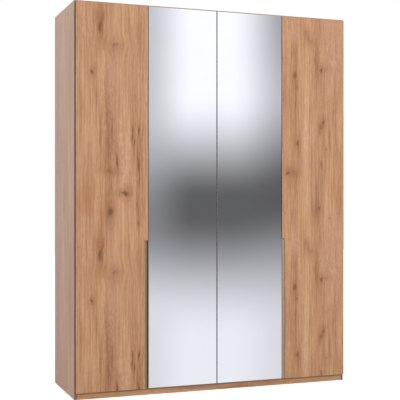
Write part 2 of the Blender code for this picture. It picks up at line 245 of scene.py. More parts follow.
# Noise layers of the print: how fine across the grain and along it, detail, and shift
SWAY = (3.0, 3.5, 2.0, 4.0)
WANDER = (45.0, 16.0, 3.0, 7.0)
CLIMB = (70.0, 34.0, 2.0, 9.0)
PORES = (900.0, 60.0, 1.0, 6.0)
FLAME = (75.0, 38.0, 3.0, 8.0)
WARMTH = (14.0, 2.6, 1.0, 11.0)
# Layers of the grain with their share in its tone
GRAIN_LAYERS = {
    "planks": ((9.0, 1.4, 1.0, 1.0), 0.52),
    "bands": ((32.0, 2.0, 2.0, 2.0), 0.55),
    "streaks": ((90.0, 4.5, 2.0, 3.0), 0.75),
    "lines": ((170.0, 3.0, 2.0, 14.0), 0.60),
    "dashes": ((150.0, 22.0, 2.0, 12.0), 0.40),
    "fibres": ((480.0, 30.0, 2.0, 5.0), 0.40),
}
MIDDLE_TONE = 0.60
FLAME_SHARE = 1.60
PATCH_SHARE = 1.5
RING_SHARE = -0.14
RINGS_PER_METRE = 60.0

# How far noise moves the marks across and along, and the grain across
WANDER_REACH = 0.020
CLIMB_REACH = 0.045
SWAY_REACH = 0.012
# How fast a mark's halo fades across and along, its dark core, and a patch
HALO_FADE = (-0.13, -0.08)
CORE_FADE = -0.65
PATCH_FADE = -0.8
# How dark a halo is
HALO_SHADE = 0.60
# Marks with a half height below this, in millimetres, are knots, which push the grain aside
KNOT_HALF_HEIGHT = 20
KNOT_PUSH = 0.35
# How much pale grey is mixed into the print on the sides: a painted sheen, as if they caught light
# at a grazing angle
SIDE_PAINTED_SHEEN = 0.18
# Fineness along and across the lines of edge bands and the threads of the linen decor
BAND_FINENESS = (14.0, 450.0)
THREAD_FINENESS = (40.0, 900.0)

# Marks in the print: place across the grain and along it, half width and half height, all in
# millimetres, and strength in per cent. Round ones are knots, and long ones are dark grain.
MARKS_DOOR_1 = [
    (147, 2210, 11, 34, 85),
    (136, 2285, 14, 10, 35),
    (160, 2262, 5, 30, 40),
    (240, 2108, 34, 14, 42),
    (232, 2040, 8, 70, 30),
    (98, 1939, 8, 9, 95),
    (124, 1760, 2, 60, 70),
    (188, 1690, 4, 90, 50),
    (218, 1600, 10, 80, 55),
    (196, 1500, 7, 60, 45),
    (345, 1570, 4, 50, 85),
    (357, 1520, 3, 30, 80),
    (386, 1598, 4, 22, 100),
    (251, 1410, 5, 34, 110),
    (382, 1395, 5, 34, 105),
    (388, 1300, 3, 50, 75),
    (200, 1350, 30, 7, 50),
    (302, 1219, 15, 14, 100),
    (270, 1222, 20, 6, 35),
    (208, 1111, 16, 26, 95),
    (382, 1038, 4, 7, 90),
    (372, 1160, 3, 20, 70),
    (60, 1270, 10, 40, 25),
]
MARKS_DOOR_4 = [
    (166, 2262, 7, 20, 50),
    (184, 2228, 6, 18, 55),
    (205, 2200, 8, 14, 45),
    (236, 2090, 6, 80, 50),
    (250, 2030, 4, 60, 40),
    (280, 2019, 9, 14, 90),
    (318, 2030, 24, 5, 35),
    (88, 1975, 12, 18, 80),
    (102, 1905, 4, 8, 75),
    (94, 1800, 3, 60, 65),
    (335, 1815, 24, 10, 35),
    (296, 1682, 8, 12, 85),
    (278, 1650, 8, 16, 65),
    (262, 1615, 5, 24, 45),
    (107, 1545, 10, 14, 80),
    (112, 1500, 3, 26, 55),
    (312, 1508, 14, 14, 45),
    (281, 1408, 4, 30, 70),
    (40, 1352, 10, 12, 85),
    (85, 1362, 18, 12, 45),
    (92, 1335, 12, 8, 45),
    (262, 1122, 9, 16, 75),
    (340, 1060, 6, 8, 55),
]
MARKS_SIDE = [
    (130, 1830, 6, 60, 35),
    (410, 1480, 6, 50, 35),
    (280, 1150, 12, 16, 45),
    (470, 2210, 5, 70, 30),
]
MARKS_PLAIN = [
    (90, 300, 6, 40, 40),
    (240, 900, 10, 14, 60),
]

# Broad areas of the print: the same four, and how much lighter and how pink in per cent
PATCHES_DOOR_1 = [
    (206, 1800, 30, 200, -6, 80),
    (210, 1540, 26, 130, -12, 65),
    (212, 1190, 22, 140, -8, 45),
    (42, 2060, 30, 230, -13, 0),
    (90, 1960, 26, 280, -7, 0),
    (141, 1970, 22, 80, 10, -10),
    (120, 1660, 30, 300, 4, 0),
    (45, 1740, 28, 80, -6, -20),
    (60, 1180, 45, 80, -10, -25),
    (240, 2080, 34, 65, -15, 10),
    (292, 2050, 22, 140, -13, 0),
    (285, 1440, 36, 180, 7, 75),
    (340, 1280, 24, 150, -10, 10),
    (340, 2280, 24, 60, 8, -15),
    (388, 1920, 26, 140, 9, 0),
    (392, 1270, 28, 240, -14, 0),
]
PATCHES_DOOR_4 = [
    (80, 2260, 50, 70, 8, 60),
    (100, 2130, 34, 90, -10, 10),
    (178, 1650, 18, 450, 12, 0),
    (100, 1760, 34, 220, -12, -10),
    (45, 1320, 32, 90, -16, -10),
    (150, 1220, 22, 150, 10, -10),
    (205, 1120, 28, 170, -12, 0),
    (242, 2080, 14, 120, -14, 10),
    (260, 1250, 30, 220, -13, 0),
    (310, 1380, 26, 140, -12, 10),
    (345, 2110, 55, 150, 8, 75),
    (309, 1160, 8, 120, 14, 0),
    (415, 1780, 34, 300, 8, 0),
    (380, 1240, 40, 120, -6, -15),
]
PATCHES_SIDE = [
    (490, 1500, 50, 480, -4, 85),
    (330, 1750, 60, 420, 12, -5),
    (160, 1700, 45, 450, 14, -5),
    (240, 1450, 12, 260, -10, 30),
    (60, 1300, 40, 300, 5, 20),
]


def falloff(graph, across, along, spot):
    """Offset across from a mark or patch, and squared distances from it, 1 at its half size."""
    centre_across, centre_along, half_width, half_height = [size / 1000 for size in spot[:4]]
    half_repeat = DECOR_REPEAT / 2
    off_across = graph.math("SUBTRACT", across, centre_across)
    off_along = graph.math("SUBTRACT", along, centre_along)
    wrapped = graph.math("WRAP", off_along, half_repeat, -half_repeat)
    wide = graph.times(off_across, 1 / half_width)
    tall = graph.times(wrapped, 1 / half_height)
    return off_across, graph.times(wide, wide), graph.times(tall, tall)


def oak_print(graph, across, along, marks, patches, seed):
    """Colour and relief of the oak print. across and along are metres on the board's face."""
    turn = graph.times(along, 2 * math.pi / DECOR_REPEAT)
    reach = DECOR_REPEAT / (2 * math.pi)
    ring_x = graph.times(graph.math("COSINE", turn), reach)
    ring_y = graph.times(graph.math("SINE", turn), reach)

    def sample(position, layer):
        """Noise at a place across the board, from a layer that repeats along it."""
        fine_across, fine_along, detail, shift = layer
        point = graph.combine(
            graph.linear(position, fine_across, seed + shift),
            graph.times(ring_x, fine_along),
            graph.linear(ring_y, fine_along, shift),
        )
        return graph.noise(point, 1.0, detail)

    marked_across = graph.add(across, graph.scaled(sample(across, WANDER), 0.5, WANDER_REACH))
    marked_along = graph.add(along, graph.scaled(sample(across, CLIMB), 0.5, CLIMB_REACH))

    push = 0.0
    shade = 0.0
    core = 0.0
    for mark in marks:
        half_height, strength = mark[3], mark[4] / 100
        off_across, wide, tall = falloff(graph, marked_across, marked_along, mark)
        bell = graph.math("EXPONENT", graph.times(graph.add(wide, tall), CORE_FADE))
        fade = graph.linear(wide, HALO_FADE[0], graph.times(tall, HALO_FADE[1]))
        halo = graph.math("EXPONENT", fade)
        if half_height < KNOT_HALF_HEIGHT:
            push = graph.add(graph.times(graph.times(off_across, halo), KNOT_PUSH), push)
        shade = graph.linear(halo, HALO_SHADE * strength, shade)
        core = graph.linear(bell, strength, core)

    lift = 0.0
    pink = 0.0
    for patch in patches:
        lighter, pinker = patch[4] / 100, patch[5] / 100
        wide, tall = falloff(graph, marked_across, along, patch)[1:]
        area = graph.math("EXPONENT", graph.times(graph.add(wide, tall), PATCH_FADE))
        lift = graph.linear(area, lighter, lift)
        pink = graph.linear(area, pinker, pink)

    sway = graph.scaled(sample(across, SWAY), 0.5, SWAY_REACH)
    grain = graph.add(graph.math("SUBTRACT", across, push), sway)
    layers = {}
    shares = []
    for name, (layer, share) in GRAIN_LAYERS.items():
        layers[name] = sample(grain, layer)
        shares.append(graph.scaled(layers[name], 0.5, share))

    ring_places = graph.add(graph.times(grain, RINGS_PER_METRE), graph.times(layers["bands"], 4.0))
    rings = graph.smooth(graph.math("FRACT", ring_places), 0.60, 0.97)
    ring_line = graph.times(rings, graph.smooth(layers["planks"], 0.62, 0.38))
    flamed_bands = graph.times(graph.smooth(layers["bands"], 0.55, 0.72), 0.4)
    flame_place = graph.math("MAXIMUM", flamed_bands, pink)
    tone = graph.add(
        *shares,
        graph.times(graph.scaled(sample(grain, FLAME), 0.5, FLAME_SHARE), flame_place),
        graph.times(ring_line, RING_SHARE),
        graph.times(lift, PATCH_SHARE),
        MIDDLE_TONE,
    )
    base = graph.ramp(
        tone,
        [
            (0.00, (136, 92, 60)),
            (0.30, (170, 122, 85)),
            (0.55, (190, 141, 102)),
            (0.80, (204, 158, 119)),
            (1.00, (216, 174, 137)),
        ],
    )
    warmth = graph.smooth(sample(across, WARMTH), 0.40, 0.75)
    pinker = graph.add(graph.times(warmth, 0.22), graph.times(pink, 0.50))
    warm = graph.mix(graph.math("MAXIMUM", pinker, 0.0), base, display(194, 145, 121))
    amber = graph.math("MAXIMUM", graph.times(pink, -1.0), 0.0)
    toned = graph.mix(amber, warm, display(188, 126, 80))
    shaded = graph.mix(graph.math("MINIMUM", shade, 0.70), toned, display(154, 102, 60))
    darkness = graph.times(graph.smooth(core, 0.10, 1.00), 0.85)
    knotted = graph.mix(darkness, shaded, display(110, 64, 33))
    pore_mask = graph.smooth(sample(grain, PORES), 0.62, 0.76)
    colour = graph.mix(graph.times(pore_mask, 0.30), knotted, display(112, 76, 50))
    relief = graph.add(graph.times(layers["fibres"], 0.5), graph.times(pore_mask, -0.8))
    return colour, relief


def board_axes(graph):
    """A board's coordinates and its normal, each split into X, Y and Z."""
    place = graph.node("ShaderNodeTexCoord")
    return graph.separate(place.outputs["Object"]), graph.separate(place.outputs["Normal"])


def lines_along(graph, axes, run, fineness, detail):
    """Noise in lines along the axis run. fineness is along the lines and across them."""
    along, across = fineness
    point = [graph.times(axes[axis], along if axis == run else across) for axis in range(3)]
    return graph.noise(graph.combine(*point), 1.0, detail)


def edge_band(graph, axes, tone, along=None):
    """Colour of an ABS edge band with a fine print, in lines if it has an axis to run along."""
    lines = lines_along(graph, axes, along, BAND_FINENESS, 3.0)
    light = [min(255, channel * 1.10) for channel in tone]
    dark = [channel * 0.90 for channel in tone]
    return graph.ramp(lines, [(0.3, dark), (0.7, light)])


def oak_material(name, across_axis, along_axis, origin, marks, patches, seed, edge, inner, grey=0.0):
    """Oak decor on a board.

    edge is the edge bands' colour, inner the sign of the inner face, and grey the share of
    pale grey mixed into the print, a painted sheen.
    """
    material, graph, shader = new_material(name)
    axes, normals = board_axes(graph)
    depth_axis = ({X_AXIS, Y_AXIS, Z_AXIS} - {across_axis, along_axis}).pop()
    across = graph.add(axes[across_axis], -origin)
    colour, relief = oak_print(graph, across, axes[along_axis], marks, patches, seed)
    # Pale grey by the share grey: a painted sheen
    colour = graph.mix(grey, colour, display(190, 174, 162))
    roughness = graph.between(relief, -0.4, 0.5, 0.60, 0.44)
    normal = normals[depth_axis]
    is_edge = graph.below(graph.size(normal), FACES_AXIS)
    is_inner = graph.above(graph.times(normal, inner), FACES_AXIS)
    linen, weave = linen_print(graph, axes)
    colour = graph.mix(is_inner, colour, linen)
    colour = graph.mix(is_edge, colour, edge_band(graph, axes, edge, along_axis))
    relief = graph.mix(is_inner, relief, weave)
    feed_look(graph, shader, colour, roughness, relief, 0.25, 0.0003)
    return material


def linen_print(graph, axes):
    """Colour and relief of the pale woven interior decor."""
    threads = [lines_along(graph, axes, run, THREAD_FINENESS, 2.0) for run in range(3)]
    weave = graph.times(graph.add(*threads), 1 / 3)
    tones = [(0.3, (182, 176, 165)), (0.5, (205, 200, 190)), (0.7, (222, 218, 209))]
    return graph.ramp(weave, tones), weave


def linen_gloss(graph, weave):
    """Roughness of the interior decor: its threads' tops are smoother."""
    return graph.between(weave, 0.3, 0.7, 0.62, 0.5)


def interior_material(name, front_edge, banded_top=False):
    """Pale woven decor, with the front edge, and a top edge if wanted, banded in another colour."""
    material, graph, shader = new_material(name)
    axes, normal = board_axes(graph)
    colour, weave = linen_print(graph, axes)
    banded = graph.below(normal[Y_AXIS], -FACES_AXIS)
    if banded_top:
        is_top = graph.above(normal[Z_AXIS], FACES_AXIS)
        banded = graph.math("MAXIMUM", banded, is_top)
    colour = graph.mix(banded, colour, edge_band(graph, axes, front_edge))
    feed_look(graph, shader, colour, linen_gloss(graph, weave), weave, 0.2, 0.0003)
    return material


def carrier_material(name):
    """Back board of a mirror: plain grey in front, pale decor behind. Its sides are a darker grey,
    painted shade of the gap between the doors.
    """
    material, graph, shader = new_material(name)
    axes, normal = board_axes(graph)
    linen, weave = linen_print(graph, axes)
    is_back = graph.above(normal[Y_AXIS], FACES_AXIS)
    is_side = graph.above(graph.size(normal[X_AXIS]), FACES_AXIS)
    rim = edge_band(graph, axes, EDGE_CARRIER)
    # Sides darker than the front rim: painted shade of the gap between the doors
    band = graph.mix(is_side, rim, edge_band(graph, axes, EDGE_CARRIER_SIDE_SHADED))
    colour = graph.mix(is_back, band, linen)
    feed_look(graph, shader, colour, linen_gloss(graph, weave), weave, 0.2, 0.0003)
    return material


def hardboard_material():
    """Pale print towards the inside, raw brown fibre on the back."""
    material, graph, shader = new_material("hardboard")
    place = graph.node("ShaderNodeTexCoord")
    point = place.outputs["Object"]
    axes = graph.separate(point)
    linen, weave = linen_print(graph, axes)
    flecks = graph.noise(point, 260.0, 4.0, 0.65)
    clouds = graph.noise(point, 6.0, 3.0)
    fibre_tone = graph.add(graph.scaled(flecks, 0.5, 1.4), graph.scaled(clouds, 0.5, 0.6), 0.5)
    tones = [(0.1, (104, 74, 50)), (0.5, (141, 105, 74)), (0.9, (170, 133, 98))]
    raw = graph.ramp(fibre_tone, tones)
    normal = graph.separate(place.outputs["Normal"])
    outside = graph.above(normal[Y_AXIS], 0.5)
    colour = graph.mix(outside, linen, raw)
    roughness = graph.between(flecks, 0.3, 0.7, 0.75, 0.6)
    relief = graph.mix(outside, weave, flecks)
    feed_look(graph, shader, colour, roughness, relief, 0.3, 0.0004)
    return material


# Metals, glass and plastics ------------


def mirror_material():
    """Silvered glass: a clean face, with a ground edge round it. The edge is darker at the sides,
    painted shade of the gap between the doors.
    """
    material, graph, shader = new_material("mirror_glass")
    place = graph.node("ShaderNodeTexCoord")
    normal = graph.separate(place.outputs["Normal"])
    face = graph.below(normal[Y_AXIS], -0.95)
    is_side = graph.above(graph.size(normal[X_AXIS]), FACES_AXIS)
    # Ground edge, darker at the sides: painted shade of the gap between the doors
    ground = graph.mix(is_side, display(176, 188, 182), display(116, 126, 121))
    haze = graph.noise(place.outputs["Object"], 3.0, 3.0)
    silver = graph.mix(graph.smooth(haze, 0.3, 0.7), display(247, 247, 250), display(249, 250, 251))
    roughness = graph.between(face, 0.0, 1.0, 0.30, 0.0)
    metallic = graph.between(face, 0.0, 1.0, 0.2, 1.0)
    colour = graph.mix(face, ground, silver)
    graph.fill(shader, Base_Color=colour, Roughness=roughness, Metallic=metallic)
    return material


def metal_material(name, dark, light, roughness, stretch, metallic=1.0, shade=None):
    """Drawn or plated metal; stretch gives the fineness of its marks along X, Y and Z.

    dark and light are display colours. shade is a painted shade, darkening towards the rear: a
    display colour, with the places along Y where it starts and where it is full.
    """
    material, graph, shader = new_material(name)
    axes = graph.separate(graph.node("ShaderNodeTexCoord").outputs["Object"])
    point = graph.combine(*[graph.times(axis, fineness) for axis, fineness in zip(axes, stretch)])
    lines = graph.noise(point, 1.0, 3.0, 0.6)
    blotches = graph.noise(graph.combine(*axes[:3]), 35.0, 2.0)
    marks = graph.add(graph.times(lines, 0.7), graph.times(blotches, 0.3))
    colour = graph.ramp(marks, [(0.3, dark), (0.7, light)])
    if shade:
        tone, start, full = shade
        # Painted shade along Y, towards the rear
        colour = graph.mix(graph.smooth(axes[Y_AXIS], start, full), colour, display(*tone))
    drawn = graph.between(lines, 0.3, 0.7, roughness, roughness + 0.12)
    feed_look(graph, shader, colour, drawn, lines, 0.08, 0.0002)
    graph.fill(shader, Metallic=metallic)
    return material


def plastic_material(name, dark, light, roughness):
    """Moulded plastic with a fine spark-eroded texture."""
    material, graph, shader = new_material(name)
    point = graph.node("ShaderNodeTexCoord").outputs["Object"]
    grain = graph.noise(point, 1500.0, 2.0)
    flow = graph.noise(point, 60.0, 2.0)
    colour = graph.ramp(flow, [(0.3, dark), (0.7, light)])
    textured = graph.between(grain, 0.3, 0.7, roughness, roughness + 0.15)
    feed_look(graph, shader, colour, textured, grain, 0.1, 0.0001)
    return material


# Edge bands: display colours. The top's is the band's own tone. The darker tones on doors, sides and
# bottom are the same band with painted shade, standing for the shade in the reveals round the doors
# and under them
EDGE_DOOR_SHADED = (112, 85, 66)
EDGE_SIDE_SHADED = (134, 104, 82)
EDGE_TOP = (166, 140, 122)
EDGE_BOTTOM_SHADED = (160, 120, 92)
EDGE_CARRIER = (172, 166, 161)
# Sides of a mirror carrier: a darker grey, painted shade of the gap between the doors
EDGE_CARRIER_SIDE_SHADED = (134, 128, 123)
EDGE_LINEN = (190, 184, 173)

LINEN = interior_material("interior_decor", EDGE_LINEN)
LINEN_BOTTOM = interior_material("interior_decor_bottom", EDGE_BOTTOM_SHADED)
LINEN_PARTITION = interior_material("interior_decor_partition", EDGE_SIDE_SHADED, banded_top=True)
HARDBOARD = hardboard_material()
MIRROR = mirror_material()
CARRIER = carrier_material("mirror_carrier")
GRIP_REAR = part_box("door_1_grip")[1].y
# The grip darkens over its deepest part: painted shade of the recess and of the gap beside it
GRIP_PAINTED_SHADE_DEPTH = 0.0040
GRIP_PAINTED_SHADE = ((112, 95, 83), GRIP_REAR - GRIP_PAINTED_SHADE_DEPTH, GRIP_REAR)
GRIP_TONES = ((188, 158, 134), (208, 178, 154))
GRIP_METAL = metal_material("grip_metal", *GRIP_TONES, 0.42, (1500.0, 1500.0, 12.0), 0.6, GRIP_PAINTED_SHADE)
STEEL = metal_material("hinge_steel", (200, 200, 202), (216, 216, 218), 0.26, (90.0, 90.0, 90.0))
CHROME = metal_material("rail_metal", (205, 206, 208), (228, 229, 230), 0.10, (8.0, 900.0, 900.0))
SOCKET = plastic_material("socket_plastic", (160, 161, 163), (176, 177, 179), 0.40)
CAP_PLASTIC = plastic_material("cap_plastic", (196, 191, 181), (206, 201, 191), 0.42)
# Dark discs that stand for the shelf-pin holes: painted shade of their insides
PAINTED_HOLE_SHADE = plastic_material("painted_hole_shade", (44, 41, 38), (56, 52, 48), 0.60)


# Boards and panes that keep their CAD shape -----


def keep_node(name, material, rounding=EDGE_ROUNDING, segments=2):
    """Give a CAD node its material and slightly rounded edges."""
    node = NODES[name]
    node.data.materials.clear()
    node.data.materials.append(material)
    weld = node.modifiers.new("weld", "WELD")
    weld.merge_threshold = WELD_REACH
    bevel = node.modifiers.new("edges", "BEVEL")
    bevel.width = rounding
    bevel.segments = segments
    bevel.limit_method = "ANGLE"
    bevel.angle_limit = math.radians(ROUNDED_DEGREES)


def dress_carcass():
    """Boards, rails and sockets of the carcass. Sides, tops and front plinth show oak."""
    left = CAD_LOW.x
    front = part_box("left_side_panel")[0].y
    for side, seed, inner in (("left", 31.0, 1), ("right", 47.0, -1)):
        decor = (MARKS_SIDE, PATCHES_SIDE, seed)
        name = f"oak_{side}_side"
        board = oak_material(name, Y_AXIS, Z_AXIS, front, *decor, EDGE_SIDE_SHADED, inner, SIDE_PAINTED_SHEEN)
        keep_node(f"{side}_side_panel", board)
    top = oak_material("oak_top", Y_AXIS, X_AXIS, front, MARKS_PLAIN, (), 63.0, EDGE_TOP, -1)
    plinth = oak_material("oak_plinth", Z_AXIS, X_AXIS, left, MARKS_PLAIN, (), 71.0, EDGE_SIDE_SHADED, 1)
    keep_node("front_plinth", plinth)
    keep_node("centre_partition", LINEN_PARTITION)
    pale = (("bottom_panel", LINEN_BOTTOM), ("hat_shelf", LINEN), ("rear_plinth", LINEN))
    for side in ("left", "right"):
        for part, look in (("top_panel", top), *pale):
            keep_node(f"{side}_{part}", look)
        keep_node(f"{side}_back_panel", HARDBOARD, FINE_ROUNDING, 1)
        keep_node(f"{side}_clothes_rail", CHROME, FINE_ROUNDING, 1)
    for number in RAIL_SOCKETS:
        keep_node(f"rail_socket_{number}", SOCKET)


def dress_doors():
    """Wooden doors with their grips, mirrors with their carriers, and the hinge cups."""
    looks = {1: (MARKS_DOOR_1, PATCHES_DOOR_1), 4: (MARKS_DOOR_4, PATCHES_DOOR_4)}
    for number in DOORS:
        if number in MIRROR_DOORS:
            keep_node(f"door_{number}_carrier", CARRIER)
            keep_node(f"door_{number}_mirror", MIRROR, MIRROR_ROUNDING, 1)
        else:
            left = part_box(f"door_{number}_panel")[0].x
            decor = (*looks[number], 5.0 * number)
            name = f"oak_door_{number}"
            board = oak_material(name, X_AXIS, Z_AXIS, left, *decor, EDGE_DOOR_SHADED, 1)
            keep_node(f"door_{number}_panel", board)
            keep_node(f"door_{number}_grip", GRIP_METAL, FINE_ROUNDING, 1)
        for place in HINGES:
            keep_node(f"door_{number}_hinge_cup_{place}", STEEL, FINE_ROUNDING, 1)


dress_carcass()
dress_doors()


# Pieces in mesh code -------------------


# Degrees from which edges are shaded as sharp, and from which a prism's edges are rounded
CREASE_DEGREES = 35
PRISM_DEGREES = 30


def make_mesh(name, shape, material, crease=CREASE_DEGREES):
    """Turn a bmesh into a mesh with a material and edges sharp from the crease angle."""
    bmesh.ops.recalc_face_normals(shape, faces=shape.faces)
    mesh = bpy.data.meshes.new(name)
    shape.to_mesh(mesh)
    shape.free()
    mesh.shade_smooth()
    mesh.set_sharp_from_angle(angle=math.radians(crease))
    mesh.materials.append(material)
    return mesh


def place_piece(name, mesh, body, place=(0, 0, 0)):
    """Show a mesh as a piece at a place and make it ride on a body."""
    piece = bpy.data.objects.new(name, mesh)
    piece.location = place
    bpy.context.scene.collection.objects.link(piece)
    bpy.context.view_layer.update()
    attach(piece, body)
    return piece


def finish_piece(name, shape, material, body="carcass", crease=CREASE_DEGREES):
    """Turn a bmesh, made where it belongs, into a visible piece that rides on a body."""
    place_piece(name, make_mesh(name, shape, material, crease), body)


def add_prism(shape, outline, low, high, swing=None, rounding=0.0, segments=2):
    """Add an outline in local XY, raised from low to high along local Z, with rounded edges."""
    swing = swing or Matrix.Identity(4)
    bottom = [shape.verts.new(swing @ Vector((x, y, low))) for x, y in outline]
    top = [shape.verts.new(swing @ Vector((x, y, high))) for x, y in outline]
    faces = [shape.faces.new(list(reversed(bottom))), shape.faces.new(top)]
    for index in range(len(outline)):
        after = (index + 1) % len(outline)
        faces.append(shape.faces.new((bottom[index], bottom[after], top[after], top[index])))
    if rounding:
        edges = list({edge for face in faces for edge in face.edges})
        limit = math.radians(PRISM_DEGREES)
        sharp = [edge for edge in edges if edge.calc_face_angle(0) > limit]
        bmesh.ops.bevel(
            shape, geom=sharp, offset=rounding, segments=segments, affect="EDGES", profile=0.5
        )


def add_lathe(shape, profile, segments, swing):
    """Add a turned solid: (radius, height) points from the axis out and back to the axis."""
    rings = []
    for radius, height in profile:
        if radius == 0:
            rings.append([shape.verts.new(swing @ Vector((0, 0, height)))])
            continue
        ring = []
        for step in range(segments):
            angle = 2 * math.pi * step / segments
            point = Vector((radius * math.cos(angle), radius * math.sin(angle), height))
            ring.append(shape.verts.new(swing @ point))
        rings.append(ring)
    for first, second in zip(rings, rings[1:]):
        for step in range(segments):
            after = (step + 1) % segments
            corners = [first[step % len(first)], first[after % len(first)]]
            corners += [second[after % len(second)], second[step % len(second)]]
            shape.faces.new(list(dict.fromkeys(corners)))


# Corners of a quarter of a screw head, in degrees, and whether they are at a slot's tip
SCREW_CORNERS = ((-14, True), (14, True), (32, False), (58, False))
# Each ring: share of the head's radius at a slot's tip and between slots, share of its height
SCREW_RINGS = (
    (1.00, 1.00, -0.10),
    (1.00, 1.00, 0.25),
    (0.90, 0.90, 0.62),
    (0.70, 0.70, 0.90),
    (0.52, 0.24, 1.00),
    (0.42, 0.18, 0.35),
)


def add_screw(shape, swing, radius, height):
    """Add a domed screw head with a cross recess. Its seat is at the local origin, facing +Z."""
    angles = []
    for quarter in range(4):
        for degrees, is_tip in SCREW_CORNERS:
            angles.append((math.radians(90 * quarter + degrees), is_tip))
    rings = []
    for tip_share, notch_share, level in SCREW_RINGS:
        ring = []
        for angle, is_tip in angles:
            reach = radius * (tip_share if is_tip else notch_share)
            point = Vector((reach * math.cos(angle), reach * math.sin(angle), height * level))
            ring.append(shape.verts.new(swing @ point))
        rings.append(ring)
    count = len(angles)
    for first, second in zip(rings, rings[1:]):
        for step in range(count):
            after = (step + 1) % count
            shape.faces.new((first[step], first[after], second[after], second[step]))
    shape.faces.new(list(reversed(rings[0])))
    shape.faces.new(rings[-1])


def facing(place, direction, spin=0.0):
    """Matrix that puts local +Z along a direction, at a place."""
    turn = Vector(direction).to_track_quat("Z", "Y").to_matrix().to_4x4()
    return Matrix.Translation(place) @ turn @ Matrix.Rotation(spin, 4, "Z")


def rounded_outline(half_x, half_y, radius, steps=4):
    """Rectangle with rounded corners about the origin."""
    points = []
    corners = ((1, 1, 0), (-1, 1, 90), (-1, -1, 180), (1, -1, 270))
    for sign_x, sign_y, start in corners:
        for step in range(steps + 1):
            angle = math.radians(start + 90 * step / steps)
            x = sign_x * (half_x - radius) + radius * math.cos(angle)
            y = sign_y * (half_y - radius) + radius * math.sin(angle)
            points.append((x, y))
    return points


# Hinges --------------------------------

# Arm: sheet thickness, half width, rounding, and how far it falls from its knee to its rear
SHEET = 0.0012
ARM_HALF = 0.0068
SHEET_ROUNDING = 0.0003
ARM_FALL = 0.004
# Depths behind the arm's front: its nose, knee and neck, and the middle of its plate
NOSE_Y = 0.010
KNEE_Y = 0.031
NECK_Y = 0.040
PLATE_Y = 0.0484
# Link plates: inset from the arm's outer side, lower and upper side, and length; then their
# front end's depth, half width and corner radius
LINKS = (
    (0.0055, -0.0050, -0.0036, 0.0167),
    (0.0055, 0.0036, 0.0050, 0.0167),
    (0.0028, -0.0024, 0.0024, 0.0142),
)
LINK_FRONT = 0.0006
LINK_HALF = 0.0019
LINK_RADIUS = 0.0018
# Pins of the links: inset and depth
LINK_PINS = ((0.0055, 0.0155), (0.0028, 0.0132), (0.0055, 0.0026))
PIN_PROFILE = ((0, -0.0062), (0.0011, -0.0062), (0.0011, 0.0062), (0, 0.0062))
# Mounting plate and its raised middle: half sizes, corner radius, lower and upper side
PLATES = (
    (0.0240, 0.0108, 0.0070, 0.0001, 0.0020),
    (0.0052, 0.0200, 0.0015, 0.0018, 0.0090),
)
PLATE_TOP = 0.0020
PLATE_ROUNDING = 0.0005
# Screws, each as radius and height of the head
PLATE_SCREW = (0.0036, 0.0017)
ADJUSTING_SCREW = (0.0024, 0.0014)
FIXING_SCREW = (0.0034, 0.0014)
CUP_SCREW = (0.0034, 0.0015)
SOCKET_SCREW = (0.0027, 0.0012)
# Distance of screws from the middle of a plate, a cup and a rail socket
PLATE_SCREW_RISE = 0.0160
CUP_SCREW_RISE = 0.0240
SOCKET_SCREW_RISE = 0.0208


def add_strip(shape, points, thickness, low, high, swing):
    """Add a bent sheet: a path in local XY thickened to its left and raised along local Z."""
    offsets = []
    for index, point in enumerate(points):
        before = Vector(points[max(index - 1, 0)])
        after = Vector(points[min(index + 1, len(points) - 1)])
        along = (after - before).normalized()
        offsets.append(Vector(point) + thickness * Vector((-along.y, along.x)))
    outline = [tuple(point) for point in (*points, *reversed(offsets))]
    add_prism(shape, outline, low, high, swing, SHEET_ROUNDING, 1)


